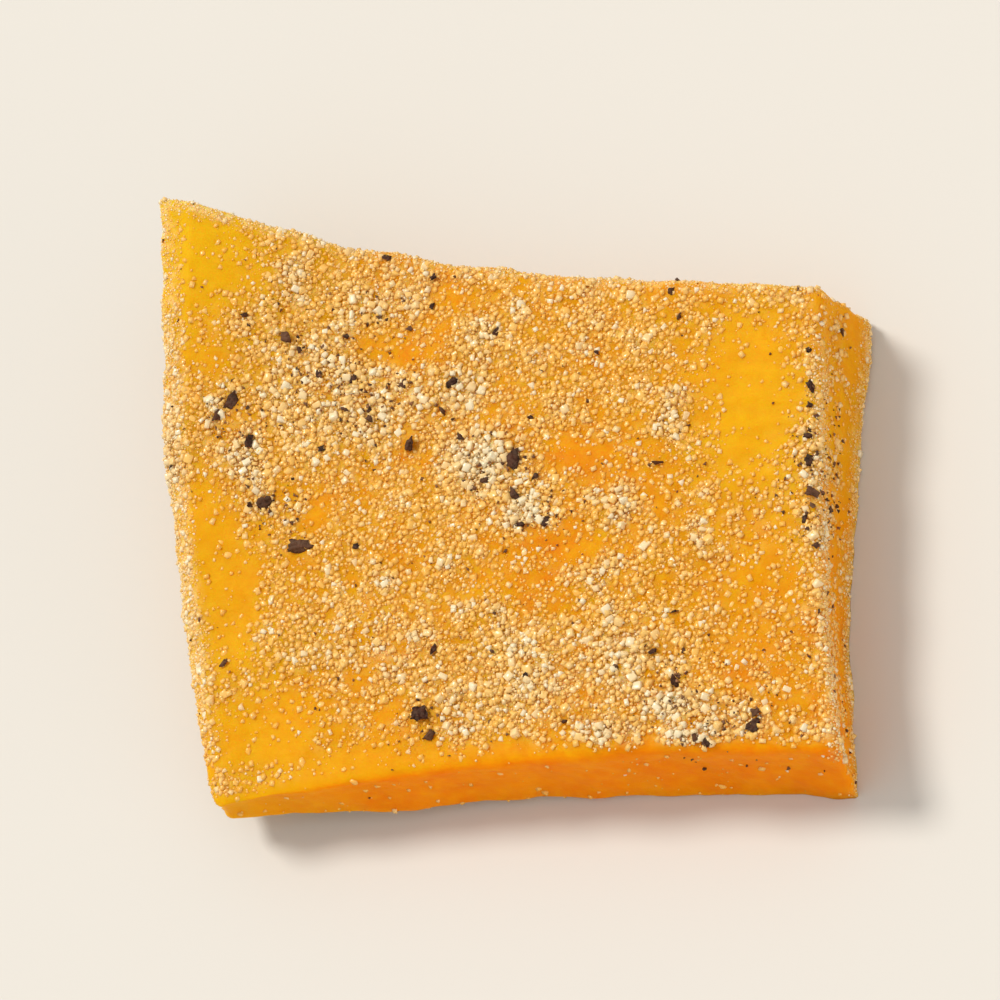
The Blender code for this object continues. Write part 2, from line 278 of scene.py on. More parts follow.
def thickness(u, v):
    back_left = THIN_BACK_LEFT * share(-u, 2) * share(v, 2)
    front_left = THIN_FRONT_LEFT * share(-u, 2) * share(-v, 3)
    whole = THICKNESS * (1.0 - back_left - front_left) + CROWN * bulge(u) * bulge(v)
    return whole - left_slope(u, v)


def slab_points(unit):
    """Where points of the unit block lie on the real slab."""
    u, v, w = rounded(unit).T
    place = plan(u, v)
    low = share(-w, 1)
    right = FLARE_RIGHT_FRONT + (FLARE_RIGHT_BACK - FLARE_RIGHT_FRONT) * share(v, 2)
    place[:, 0] += u * low * np.where(u > 0.0, right, FLARE_REST)
    place[:, 1] += v * low * np.where(v < 0.0, FLARE_FRONT * share(u, 1), FLARE_REST)
    place[:, 0] -= SIDE_HOLLOW * bulge(w) * u**SIDE_SHARPNESS
    place[:, 1] -= SIDE_HOLLOW * bulge(w) * v**SIDE_SHARPNESS
    return np.column_stack([place, lift(u, v) + share(w, 1) * thickness(u, v)])


def noise_at(points, pitch, offset):
    """Smooth noise from -1 to 1. The pitch is one length, or one for each axis."""
    scaled = points / np.array(pitch) + np.array(offset)
    return np.array([noise.noise(p) for p in scaled])


def relief(points):
    """The height of the dried flesh's swells and lumps there."""
    swell = noise_at(points, SWELL_PITCH, SWELL_OFFSET)
    lump = noise_at(points, LUMP_PITCH, LUMP_OFFSET)
    return SWELL_DEPTH * swell + LUMP_DEPTH * lump


def fine_relief(points):
    """Shallow wrinkles along the fibres, and small pits where sugar has drawn the juice out."""
    wrinkle = 1.0 - 2.0 * np.abs(noise_at(points, WRINKLE_PITCH, WRINKLE_OFFSET))
    pit = noise_at(points, PIT_PITCH, PIT_OFFSET)
    return WRINKLE_DEPTH * wrinkle + PIT_DEPTH * pit


def crowded(t):
    """Moves an even grid's lines towards both ends, so that the rim gets short cells."""
    reach = CROWDING * math.pi / 2
    return np.sin(t * reach) / math.sin(reach)


def block_mesh(name):
    """A cube from -1 to 1 whose faces are cut into CELLS."""
    bm = bmesh.new()
    bmesh.ops.create_cube(bm, size=2.0)
    for axis, count in enumerate(CELLS):
        along = [e for e in bm.edges if abs((e.verts[0].co - e.verts[1].co)[axis]) > 1.0]
        bmesh.ops.subdivide_edges(bm, edges=along, cuts=count - 1, use_grid_fill=True)
    mesh = bpy.data.meshes.new(name)
    bm.to_mesh(mesh)
    bm.free()
    return mesh


# Meshes as arrays


def read_points(mesh):
    flat = np.empty(len(mesh.vertices) * 3, np.float32)
    mesh.vertices.foreach_get("co", flat)
    return flat.reshape(-1, 3).astype(float)


def read_normals(mesh):
    flat = np.empty(len(mesh.vertices) * 3, np.float32)
    mesh.vertex_normals.foreach_get("vector", flat)
    return flat.reshape(-1, 3).astype(float)


def write_points(mesh, points):
    mesh.vertices.foreach_set("co", points.astype(np.float32).ravel())
    mesh.update()


def give_attribute(mesh, name, values):
    made = mesh.attributes.new(name, "FLOAT", "POINT")
    made.data.foreach_set("value", values.astype(np.float32))


def shown(name, mesh, material):
    """An object of the scene for a finished mesh, riding on the part's body."""
    made = bpy.data.objects.new(name, mesh)
    bpy.context.scene.collection.objects.link(made)
    mesh.materials.append(material)
    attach(made, "root")
    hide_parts("dried_mango_piece")


# How thick the coating lies


def near(t, low, high):
    """Rises from 0 at low to 1 at high."""
    return np.clip((t - low) / (high - low), 0.0, 1.0)


def spot(u, v, place, radii):
    """1 in the middle of an oval spot on the cut face, falling smoothly round it."""
    return np.exp(-(((u - place[0]) / radii[0]) ** 2) - ((v - place[1]) / radii[1]) ** 2)


def heaped(unit):
    """How much sugar is heaped up there, from 0 to 1: the named heaps, and small clumps all over."""
    u, v, w = unit.T
    total = CLUMP_AMOUNT * near(noise_at(unit * BLOCK_HALF, CLUMP_PITCH, CLUMP_OFFSET), *CLUMP_RISE)
    ragged = 1.0 + RAGGEDNESS * noise_at(unit * BLOCK_HALF, CLUMP_PITCH, RAGGED_OFFSET)
    for x, y, across, along, amount in SUGAR_HEAPS:
        total = np.maximum(total, amount * ragged * spot(u, v, (x, y), (across, along)))
    return np.clip(total, 0.0, 1.0) * (1.0 - bareness(unit)) * (w > 0.0)


def bareness(unit):
    """How much of the sugar is missing there, from 0 to 1."""
    u, v, w = unit.T
    total = np.zeros_like(u)
    for x, y, across, along, amount in BARE_PATCHES:
        reach = ((u - x) / across) ** 2 + ((v - y) / along) ** 2
        total = np.maximum(total, amount * np.exp(-(reach**2)))
    return total * (w > 0.0)


def edge_crust_and_highlight(unit):
    """How thickly fine sugar has gathered along an edge, from 0 to 1.

    Each edge's crust sets in over its own stretches of u, v and w; at the back-left corner it is also painted
    highlight.
    """
    u, v, w = unit.T
    left = near(-u, *LEFT_BAND) * near(w, -0.2, 0.4) * near(v, -0.95, -0.5) * near(-v, -1.3, -0.5)
    right = near(u, *RIM_BAND)
    right_top = right * near(w, 0.45, 0.90) * near(-v, -0.95, -0.6)
    right_low = right * near(-w, 0.40, 0.85)
    back = near(v, *BACK_BAND) * near(w, 0.5, 0.95) * near(u, -0.9, -0.4)
    # Round the back-left corner the crust paints the rim paler: a painted highlight, with sugar specks on it.
    corner = near(np.maximum(-u, v), *CORNER_HIGHLIGHT_BAND) * near(w, 0.0, 0.6)
    corner = corner * spot(u, v, (-1.0, 1.0), (0.75, 0.60))
    sides = [CRUST_LEFT * left, CRUST_RIGHT_TOP * right_top, CRUST_RIGHT_LOW * right_low]
    return np.maximum.reduce([*sides, CRUST_BACK * back, CORNER_CRUST_AND_HIGHLIGHT * corner])


def front_side(unit):
    """1 on the front side, which was cut last and stayed clean."""
    return near(-unit[:, 1], *RIM_BAND)


def sugar_cover(unit, points):
    """How thickly sugar lies there, from 0 to 1, apart from the fine crust along the edges."""
    u, v, w = unit.T
    broad = noise_at(points, BROAD_PITCH, BROAD_OFFSET)
    tight = noise_at(points, TIGHT_PITCH, TIGHT_OFFSET)
    around = near(np.maximum(np.abs(u), np.abs(v)), *RIM_BAND)
    even = COVER_MEAN - COVER_RIM_LOSS * around + BROAD_DEPTH * broad + TIGHT_DEPTH * tight
    cover = np.clip(even, COVER_LEAST, 1.0) * (1.0 - bareness(unit)) + HEAP_ADDS * heaped(unit)
    below = 1.0 - UNDERSIDE_LOSS * near(-w, 0.9, 1.0)
    right_side = 1.0 - RIGHT_LOSS * near(u, *SIDE_BAND)
    front = 1.0 - FRONT_LOSS * front_side(unit)
    return np.clip(cover * below * right_side * front, COVER_TRACE, 1.0)


def clear_of_pepper(unit):
    """0 under the biggest bits of pepper, where no sugar shows, and 1 elsewhere."""
    u, v, _ = unit.T
    total = np.ones_like(u)
    for x, y, length, breadth, _ in BIG_PEPPER:
        away = np.hypot((u - x) * BLOCK_HALF[0], (v - y) * BLOCK_HALF[1])
        total = np.minimum(total, near(away / (length + breadth), *PEPPER_CLEARING))
    return total


def pepper_cover(unit, points):
    """How often pepper lies there, from 0 to 1."""
    u, v, w = unit.T
    varied = np.clip(noise_at(points, PEPPER_PITCH, PEPPER_OFFSET), 0.0, 1.0)
    total = PEPPER_LEAST + PEPPER_VARIES * varied
    for x, y, radius in PEPPER_DRIFTS:
        total = np.maximum(total, spot(u, v, (x, y), (radius, radius)) * (w > 0.0))
    front = 1.0 - PEPPER_FRONT_LOSS * front_side(unit)
    return total * front * (1.0 - PEPPER_BARE_LOSS * bareness(unit))


def thin_glow(unit):
    """How thin or pale the flesh is there, from 0 to 1, which paints it yellower, partly as a painted glow.
    """
    u, v, _ = unit.T
    spots = [amount * spot(u, v, (x, y), (across, along)) for x, y, across, along, amount in THIN_GLOW_SPOTS]
    return np.maximum.reduce(spots)


def painted_side_shade(unit, normals):
    """Painted shade as deeper orange on an upright side: most on the front, and on the right towards its
    front end.
    """
    u, v, _ = unit.T
    upright = near(-np.abs(normals[:, 2]), -0.95, -0.45)
    front = front_side(unit) * near(u, -1.3, -0.4)
    right = near(u, *SIDE_BAND) * (SIDE_SHADE_RIGHT + SIDE_SHADE_RIGHT_FRONT * near(-v, -0.6, 0.3))
    return upright * np.maximum.reduce([np.full(len(unit), SIDE_SHADE_ANY), front, right])


# Shader groups

# Where in its noise the dust's specks begin and are full, and the same for its films.
DUST_SPECKS, DUST_FILMS = (0.50, 0.64), (0.42, 0.62)


def new_group(name, inputs, outputs):
    group = bpy.data.node_groups.new(name, "ShaderNodeTree")
    for label, kind, value in inputs:
        socket = group.interface.new_socket(label, in_out="INPUT", socket_type=kind)
        if value is not None:
            socket.default_value = value
    for label, kind in outputs:
        group.interface.new_socket(label, in_out="OUTPUT", socket_type=kind)
    return group, group.nodes.new("NodeGroupInput"), group.nodes.new("NodeGroupOutput")


def set_inputs(tree, made, values):
    """Links a node's inputs to sockets, or sets them to plain values."""
    for label, value in values.items():
        if isinstance(value, bpy.types.NodeSocket):
            tree.links.new(value, made.inputs[label])
        else:
            made.inputs[label].default_value = value


def node(tree, kind, values, **settings):
    """A node with its settings and its linked or plain inputs. Gives its first output."""
    made = tree.nodes.new(kind)
    for key, value in settings.items():
        setattr(made, key, value)
    set_inputs(tree, made, values)
    return made.outputs[0]


def noise_node(tree, where, scale, detail, rough=0.5):
    values = {"Vector": where, "Scale": scale, "Detail": detail, "Roughness": rough}
    return node(tree, "ShaderNodeTexNoise", values)


def product(tree, first, second):
    return node(tree, "ShaderNodeMath", {0: first, 1: second}, operation="MULTIPLY", use_clamp=True)


def ramp(tree, value, low, high, start=0.0, end=1.0):
    """Maps low to start and high to end, and stays between them."""
    values = {"Value": value, "From Min": low, "From Max": high, "To Min": start, "To Max": end}
    return node(tree, "ShaderNodeMapRange", values)


def mottle_group():
    """Soft uneven patches in two sizes, from 0 to 1."""
    inputs = [
        ("Vector", "NodeSocketVector", None),
        ("Large Scale", "NodeSocketFloat", 260.0),
        ("Small Scale", "NodeSocketFloat", 1400.0),
        ("Contrast", "NodeSocketFloat", 1.6),
    ]
    group, start, end = new_group("mottle", inputs, [("Mask", "NodeSocketFloat")])
    large = noise_node(group, start.outputs["Vector"], start.outputs["Large Scale"], 3.0)
    small = noise_node(group, start.outputs["Vector"], start.outputs["Small Scale"], 2.0)
    both = node(group, "ShaderNodeMath", {0: large, 1: small}, operation="ADD")
    centred = node(group, "ShaderNodeMath", {0: both, 1: 1.0}, operation="SUBTRACT")
    values = {0: centred, 1: start.outputs["Contrast"], 2: 0.5}
    strong = node(group, "ShaderNodeMath", values, operation="MULTIPLY_ADD", use_clamp=True)
    group.links.new(strong, end.inputs["Mask"])
    return group


def dust_group():
    """Fine sugar dust: a mask of specks and films, thicker where Amount is higher."""
    inputs = [
        ("Vector", "NodeSocketVector", None),
        ("Speck Scale", "NodeSocketFloat", 5200.0),
        ("Film Scale", "NodeSocketFloat", 1900.0),
        ("Amount", "NodeSocketFloat", 0.5),
    ]
    group, start, end = new_group("sugar_dust", inputs, [("Mask", "NodeSocketFloat")])
    where, amount = start.outputs["Vector"], start.outputs["Amount"]
    specks = noise_node(group, where, start.outputs["Speck Scale"], 3.0, 0.7)
    specks = ramp(group, specks, *DUST_SPECKS)
    film = noise_node(group, where, start.outputs["Film Scale"], 5.0, 0.65)
    film = ramp(group, film, *DUST_FILMS)
    either = node(group, "ShaderNodeMath", {0: specks, 1: film}, operation="MAXIMUM")
    group.links.new(product(group, either, amount), end.inputs["Mask"])
    return group


def placed_group(tree, group, values):
    made = tree.nodes.new("ShaderNodeGroup")
    made.node_tree = group
    set_inputs(tree, made, values)
    return made.outputs["Mask"]


# Materials

# The flesh: two tones of the golden cut face and of the orange sides, whose deeper orange is painted shade
# and glow, yellow where it is thin, partly as painted glow, and the film and the crust of fine sugar on it.
GOLDEN_TONES = (0.70, 0.200, 0.0002, 1), (0.74, 0.320, 0.0004, 1)
SIDE_SHADE_TONES = (0.84, 0.185, 0.0001, 1), (0.90, 0.270, 0.0003, 1)
# The yellow of thin flesh is partly a painted glow of light shining through it.
THIN_GLOW_YELLOW = (0.72, 0.405, 0.003, 1)
FILM_COLOUR, FILM_SHARE = (0.96, 0.56, 0.12, 1), 0.50
# The crust colour is also a painted highlight on the back-left corner's rim.
CRUST_AND_HIGHLIGHT_COLOUR = (0.98, 0.71, 0.32, 1)
FLESH_ROUGHNESS = (0.50, 0.72)
FLESH_SPECULAR = 0.04
GLOW_SHARE, GLOW_REACH, GLOW_COLOURS = 0.5, 2.2 * MM, (1.0, 0.40, 0.08)

# The sugar: two tones of the juiciest grains, those that are only stained, and the driest.
JUICY_TONES = (0.94, 0.41, 0.012, 1), (0.98, 0.52, 0.045, 1)
STAINED_SUGAR = (1.0, 0.61, 0.16, 1)
WHITE_SUGAR = (1.0, 0.84, 0.54, 1)
SUGAR_ROUGHNESS = (0.12, 0.34)

# The pepper: two tones of its husk, its kernel, and the sugar dust on it.
HUSK_TONES = (0.003, 0.001, 0.0005, 1), (0.060, 0.015, 0.006, 1)
KERNEL_COLOUR = (0.32, 0.14, 0.060, 1)
PEPPER_DUST_COLOUR, PEPPER_DUST_AMOUNT = (0.80, 0.55, 0.38, 1), 0.06

# The finest relief: its depth, its strength on the flesh and on the pepper, how far the dust stands out
# beside the flesh's own grain, and that grain's scale, detail and roughness.
BUMP_DEPTH = 0.12 * MM
FLESH_BUMP, PEPPER_BUMP = 0.5, 0.8
DUST_RELIEF = 1.2
FLESH_GRAIN = 2600.0, 6.0, 0.62


def new_material(name):
    material = bpy.data.materials.new(name)
    material.use_nodes = True
    return material, material.node_tree, material.node_tree.nodes["Principled BSDF"]


def mix_colour(tree, factor, first, second):
    made = node(tree, "ShaderNodeMix", {}, data_type="RGBA").node
    set_inputs(tree, made, {0: factor, 6: first, 7: second})
    return made.outputs[2]


def attribute(tree, name):
    return node(tree, "ShaderNodeAttribute", {}, attribute_name=name).node.outputs["Fac"]


def object_place(tree):
    return tree.nodes.new("ShaderNodeTexCoord").outputs["Object"]


def set_bump(tree, surface, height, strength, distance):
    values = {"Height": height, "Strength": strength, "Distance": distance}
    tree.links.new(node(tree, "ShaderNodeBump", values), surface.inputs["Normal"])


def flesh_material(mottle, dust):
    """Soft dried mango: golden cut face, deeper orange sides as painted shade, yellow where thin, partly
    painted glow.
    """
    material, tree, surface = new_material("mango_flesh")
    where = object_place(tree)
    patches = placed_group(tree, mottle, {"Vector": where})
    sugar = attribute(tree, "sugar")
    golden = mix_colour(tree, patches, *GOLDEN_TONES)
    # Yellower where thin: partly a painted glow of light through the thin flesh.
    golden = mix_colour(tree, attribute(tree, "thin"), golden, THIN_GLOW_YELLOW)
    # Painted shade: upright sides take a deeper orange in place of their shade and the light glowing through
    # them.
    orange = mix_colour(tree, patches, *SIDE_SHADE_TONES)
    flesh = mix_colour(tree, attribute(tree, "side"), golden, orange)
    dusted = placed_group(tree, dust, {"Vector": where, "Amount": sugar})
    colour = mix_colour(tree, product(tree, dusted, FILM_SHARE), flesh, FILM_COLOUR)
    # The crust, paler on the back-left corner's rim as a painted highlight.
    crusted = product(tree, attribute(tree, "crust"), dusted)
    colour = mix_colour(tree, crusted, colour, CRUST_AND_HIGHLIGHT_COLOUR)
    tree.links.new(colour, surface.inputs["Base Color"])
    tree.links.new(ramp(tree, sugar, 0.0, 1.0, *FLESH_ROUGHNESS), surface.inputs["Roughness"])
    surface.inputs["Specular IOR Level"].default_value = FLESH_SPECULAR
    surface.inputs["Subsurface Weight"].default_value = GLOW_SHARE
    surface.inputs["Subsurface Radius"].default_value = GLOW_COLOURS
    surface.inputs["Subsurface Scale"].default_value = GLOW_REACH
    fine = noise_node(tree, where, *FLESH_GRAIN)
    height = node(tree, "ShaderNodeMath", {0: dusted, 1: DUST_RELIEF, 2: fine}, operation="MULTIPLY_ADD")
    set_bump(tree, surface, height, FLESH_BUMP, BUMP_DEPTH)
    return material


def sugar_material(mottle):
    """Sugar crystals: most are stained golden or peach by the mango's juice, and the driest are white."""
    material, tree, surface = new_material("sugar")
    values = {"Vector": object_place(tree), "Large Scale": 700.0, "Small Scale": 3200.0}
    cloud = placed_group(tree, mottle, values)
    tint = attribute(tree, "tint")
    juicy = mix_colour(tree, cloud, *JUICY_TONES)
    stained = mix_colour(tree, ramp(tree, tint, 0.0, 0.5), juicy, STAINED_SUGAR)
    colour = mix_colour(tree, ramp(tree, tint, 0.5, 1.0), stained, WHITE_SUGAR)
    tree.links.new(colour, surface.inputs["Base Color"])
    tree.links.new(ramp(tree, cloud, 0.0, 1.0, *SUGAR_ROUGHNESS), surface.inputs["Roughness"])
    surface.inputs["IOR"].default_value = 1.50
    surface.inputs["Transmission Weight"].default_value = 0.20
    return material


def pepper_material(mottle, dust):
    """Crushed black pepper: wrinkled dark husk, tan kernel on some broken faces, and a little sugar dust."""
    material, tree, surface = new_material("pepper")
    where = object_place(tree)
    values = {"Vector": where, "Large Scale": 1200.0, "Small Scale": 5200.0}
    grain = placed_group(tree, mottle, values)
    husk = mix_colour(tree, grain, *HUSK_TONES)
    colour = mix_colour(tree, attribute(tree, "tint"), husk, KERNEL_COLOUR)
    values = {"Vector": where, "Speck Scale": 7000.0, "Film Scale": 4000.0, "Amount": PEPPER_DUST_AMOUNT}
    dusted = placed_group(tree, dust, values)
    colour = mix_colour(tree, dusted, colour, PEPPER_DUST_COLOUR)
    tree.links.new(colour, surface.inputs["Base Color"])
    surface.inputs["Roughness"].default_value = 0.70
    surface.inputs["Specular IOR Level"].default_value = 0.15
    set_bump(tree, surface, grain, PEPPER_BUMP, BUMP_DEPTH)
    return material


# The flesh


def make_flesh(material):
    mesh = block_mesh("mango_flesh")
    unit = crowded(read_points(mesh))
    points = slab_points(unit)
    write_points(mesh, points)
    normals = read_normals(mesh)
    points = points + normals * (relief(points) + fine_relief(points))[:, None]
    points[:, 2] = np.maximum(points[:, 2], REST_FLAT) - REST_FLAT
    points -= MIDDLE
    write_points(mesh, points)
    mesh.shade_smooth()
    unit = rounded(unit)
    give_attribute(mesh, "sugar", np.maximum(sugar_cover(unit, points), edge_crust_and_highlight(unit)))
    # The crust mask, which round the back-left corner is also a painted highlight on the rim.
    give_attribute(mesh, "crust", np.maximum(edge_crust_and_highlight(unit), heaped(unit)))
    # Painted shade: how much deeper orange each upright side gets.
    give_attribute(mesh, "side", painted_side_shade(unit, normals))
    # Where the flesh is painted yellower, partly as a glow of light through thin flesh.
    give_attribute(mesh, "thin", thin_glow(unit))
    shown("mango_flesh", mesh, material)
    return mesh, unit, points


# Grains

# As shares of a grain's size: its breadth, and the least height over the floor of the place where it lies.
GRAIN_BREADTHS = (0.6, 1.0)
STANDS_CLEAR = 0.7


def surface_draw(mesh, points, chance, count, rng):
    """Draws places on the mesh in step with the chance there: a triangle's corners, and their weights."""
    mesh.calc_loop_triangles()
    corners = np.empty(len(mesh.loop_triangles) * 3, np.int32)
    mesh.loop_triangles.foreach_get("vertices", corners)
    corners = corners.reshape(-1, 3)
    a, b, c = (points[corners[:, i]] for i in range(3))
    areas = np.linalg.norm(np.cross(b - a, c - a), axis=1) / 2
    weight = areas * chance[corners].mean(axis=1)
    picked = corners[rng.choice(len(corners), count, p=weight / weight.sum())]
    first, second = rng.random((2, count))
    fold = first + second > 1.0
    first, second = np.where(fold, 1 - first, first), np.where(fold, 1 - second, second)
    return picked, np.column_stack([1 - first - second, first, second])


def at_corners(values, picked, weights):
    """A value of the mesh's points, read at the drawn places."""
    if values.ndim == 1:
        return (values[picked] * weights).sum(axis=1)
    return (values[picked] * weights[:, :, None]).sum(axis=1)


def keep_apart(places, sizes, gap):
    """Which grains stay when each must lie at least gap times its width from the ones before it."""
    tree = KDTree(len(places))
    for i, place in enumerate(places):
        tree.insert(place, i)
    tree.balance()
    kept = np.zeros(len(places), bool)
    reach = sizes.max() * gap
    for i, place in enumerate(places):
        close = tree.find_range(place, reach)
        kept[i] = not any(kept[j] and far < gap * (sizes[i] + sizes[j]) / 2 for _, j, far in close if j < i)
    return kept


def template(bm):
    """A grain's points and triangles, at unit width."""
    bmesh.ops.triangulate(bm, faces=bm.faces)
    bm.verts.index_update()
    points = np.array([vert.co for vert in bm.verts])
    triangles = np.array([[vert.index for vert in face.verts] for face in bm.faces])
    bm.free()
    return points, triangles


def crystal_shape(bevel):
    """A block of sugar, with its edges taken off by the bevel."""
    bm = bmesh.new()
    bmesh.ops.create_cube(bm, size=1.0)
    if bevel > 0.0:
        bmesh.ops.bevel(
            bm, geom=bm.edges[:], offset=bevel, segments=1, profile=0.5, affect="EDGES", material=-1
        )
    return template(bm)


def chip_shape():
    """The smallest grains: a double pyramid of eight faces."""
    bm = bmesh.new()
    bmesh.ops.create_uvsphere(bm, u_segments=4, v_segments=2, radius=0.5)
    return template(bm)


def melted_shape():
    """A crystal that the juice has half dissolved: a low smooth dome."""
    bm = bmesh.new()
    bmesh.ops.create_icosphere(bm, subdivisions=2, radius=0.5)
    return template(bm)


def shard_shape(rng, corners, cuts=0, rough=0.0):
    """A broken bit of peppercorn: the hull of a few corners, its faces cut up and roughened."""
    bm = bmesh.new()
    for _ in range(corners):
        bm.verts.new(Vector(rng.normal(0.0, 1.0, 3)).normalized() * rng.uniform(*SHARD_CORNERS))
    bmesh.ops.convex_hull(bm, input=bm.verts)
    bmesh.ops.delete(bm, geom=[v for v in bm.verts if not v.link_faces], context="VERTS")
    bmesh.ops.recalc_face_normals(bm, faces=bm.faces)
    if cuts:
        bmesh.ops.subdivide_edges(bm, edges=bm.edges[:], cuts=cuts, use_grid_fill=True)
        offset = Vector(rng.uniform(0.0, 50.0, 3))
        for vert in bm.verts:
            broad = noise.noise(vert.co * BROAD_DENTS + offset)
            fine = noise.noise(vert.co * FINE_DENTS + offset)
            vert.co *= 1.0 + rough * (broad + FINE_DENT_SHARE * fine)
    return template(bm)


def turns(normals, tilt, rng):
    """For each grain, a rotation that sets its Z near the surface's normal and spins it at random."""
    lean = normals + rng.normal(0.0, 1.0, normals.shape) * tilt
    up = lean / np.linalg.norm(lean, axis=1, keepdims=True)
    aside = np.cross(up, rng.normal(0.0, 1.0, up.shape))
    aside /= np.linalg.norm(aside, axis=1, keepdims=True)
    return np.stack([aside, np.cross(up, aside), up], axis=2)


def grown(shape, places, rotation, scales, jitter, rng):
    """The points and triangles of many grains: the shape scaled, roughened, turned and placed for each."""
    base, triangles = shape
    rough = 1.0 + jitter * rng.uniform(-1.0, 1.0, (len(places), len(base), 1))
    local = base[None] * rough * scales[:, None]
    points = np.einsum("nij,nkj->nki", rotation, local) + places[:, None]
    faces = triangles[None] + len(base) * np.arange(len(places))[:, None, None]
    return points.reshape(-1, 3), faces.reshape(-1, 3)


def joined(name, batches):
    """One mesh of several batches of grains, each with its points, triangles and tints."""
    starts = np.cumsum([0] + [len(points) for points, _, _ in batches[:-1]])
    points = np.concatenate([batch[0] for batch in batches])
    faces = np.concatenate([batch[1] + start for batch, start in zip(batches, starts)])
    mesh = bpy.data.meshes.new(name)
    mesh.vertices.add(len(points))
    mesh.loops.add(faces.size)
    mesh.polygons.add(len(faces))
    mesh.vertices.foreach_set("co", points.astype(np.float32).ravel())
    mesh.loops.foreach_set("vertex_index", faces.astype(np.int32).ravel())
    mesh.polygons.foreach_set("loop_start", np.arange(0, faces.size, 3, dtype=np.int32))
    mesh.update(calc_edges=True)
    give_attribute(mesh, "tint", np.concatenate([batch[2] for batch in batches]))
    return mesh


def scatter(flesh, shape, chance, rng, *, count, sizes, tilt, gap, jitter, flat, sunk, pile, tint):
    """A batch of grains of one shape, drawn over the flesh in step with the chance.

    The count is drawn before those too close together are left out. Each is sunk by that share of its width,
    or raised if the share is negative, and lies up to pile higher in a heap. The tint is the usual one, what
    a heap or an edge's crust adds to it, and its spread.
    """
    mesh, unit, points = flesh
    picked, weights = surface_draw(mesh, points, chance, count, rng)
    places = at_corners(points, picked, weights)
    normals = at_corners(read_normals(mesh), picked, weights)
    normals /= np.linalg.norm(normals, axis=1, keepdims=True)
    heap = at_corners(heaped(unit), picked, weights)
    crust = at_corners(edge_crust_and_highlight(unit), picked, weights)
    width = np.sort(sizes[0] + (sizes[1] - sizes[0]) * rng.random(count) ** 2)[::-1]
    kept = keep_apart(places, width, gap) & (places[:, 2] > width * STANDS_CLEAR)
    places, normals, heap, crust, width = (a[kept] for a in (places, normals, heap, crust, width))
    count = len(places)
    rise = pile * heap * rng.random(count) - sunk * width
    breadths = rng.uniform(*GRAIN_BREADTHS, count)
    scales = np.column_stack([np.ones(count), breadths, rng.uniform(*flat, count)])
    # At the back-left corner the crust's whiter tint is also part of the painted highlight on the rim.
    shade = tint[0] + tint[1] * np.maximum(heap, crust) + tint[2] * rng.exponential(1.0, count)
    centres = places + normals * rise[:, None]
    grains = grown(shape, centres, turns(normals, tilt, rng), scales * width[:, None], jitter, rng)
    return *grains, np.repeat(np.clip(shade, 0.0, 1.0), len(shape[0]))


# Sugar

SUGAR_SEED = 5
# How often specks lie between the other grains, and in the crust along an edge.
SPECKS_BETWEEN, SPECKS_IN_CRUST = 0.7, 2.0
# Coarse grains lie mostly in the heaps, and this often between them. Their edges are worn off.
COARSE_BETWEEN = 0.35
COARSE_BEVEL = 0.10
SPECKS = dict(
    count=40000, sizes=(0.10 * MM, 0.24 * MM), tilt=0.8, gap=0.70, jitter=0.15, flat=(0.6, 1.0),
    sunk=0.05, pile=0.2 * MM, tint=(0.12, 0.6, 0.20),
)
FINE_GRAINS = dict(
    count=27000, sizes=(0.16 * MM, 0.33 * MM), tilt=0.55, gap=0.85, jitter=0.12, flat=(0.5, 0.95),
    sunk=0.14, pile=0.2 * MM, tint=(0.10, 0.6, 0.22),
)
COARSE_GRAINS = dict(
    count=1900, sizes=(0.30 * MM, 0.48 * MM), tilt=0.5, gap=0.90, jitter=0.08, flat=(0.5, 0.95),
    sunk=0.14, pile=0.25 * MM, tint=(0.20, 0.6, 0.25),
)
MELTED_GRAINS = dict(
    count=2200, sizes=(0.32 * MM, 0.58 * MM), tilt=0.15, gap=0.62, jitter=0.22, flat=(0.30, 0.50),
    sunk=0.08, pile=0.0, tint=(0.10, 0.5, 0.14),
)


def make_sugar(flesh, material):
    _, unit, points = flesh
    rng = np.random.default_rng(SUGAR_SEED)
    cover = sugar_cover(unit, points) * clear_of_pepper(unit)
    among = np.maximum(SPECKS_BETWEEN * cover, SPECKS_IN_CRUST * edge_crust_and_highlight(unit))
    in_heaps = cover**2 * (COARSE_BETWEEN + heaped(unit))
    specks = scatter(flesh, chip_shape(), among, rng, **SPECKS)
    fine = scatter(flesh, crystal_shape(0.0), cover, rng, **FINE_GRAINS)
    coarse = scatter(flesh, crystal_shape(COARSE_BEVEL), in_heaps, rng, **COARSE_GRAINS)
    melted = scatter(flesh, melted_shape(), cover, rng, **MELTED_GRAINS)
    shown("sugar_specks", joined("sugar_specks", [specks]), material)
    shown("sugar_fine", joined("sugar_fine", [fine]), material)
    shown("sugar_coarse", joined("sugar_coarse", [coarse]), material)
    domes = joined("sugar_melted", [melted])
    domes.shade_smooth()
    shown("sugar_melted", domes, material)


# Pepper

PEPPER_SEED = 8
SHARD_KINDS = 6
# How far a unit shard's corners lie from its middle, and how closely its broad and its fine dents follow each
# other, with the depth of the fine ones beside the broad.
SHARD_CORNERS = (0.34, 0.55)
BROAD_DENTS, FINE_DENTS, FINE_DENT_SHARE = 4.5, 13.0, 0.7
# A unit shard is a little narrower than 1, so a placed bit is scaled up by this.
BIT_GROWTH = 1.1
# A placed bit's height as shares of its breadth, how far out its middle lies as a share of that height, how
# rough it is, and how much kernel it shows at most.
BIT_HEIGHTS = (0.65, 0.90)
BIT_OUT, BIT_JITTER, BIT_KERNEL = 0.25, 0.02, 0.35
BIG_SHARD = dict(corners=11, cuts=5, rough=0.34)
SMALL_SHARD = dict(corners=9, cuts=3, rough=0.34)
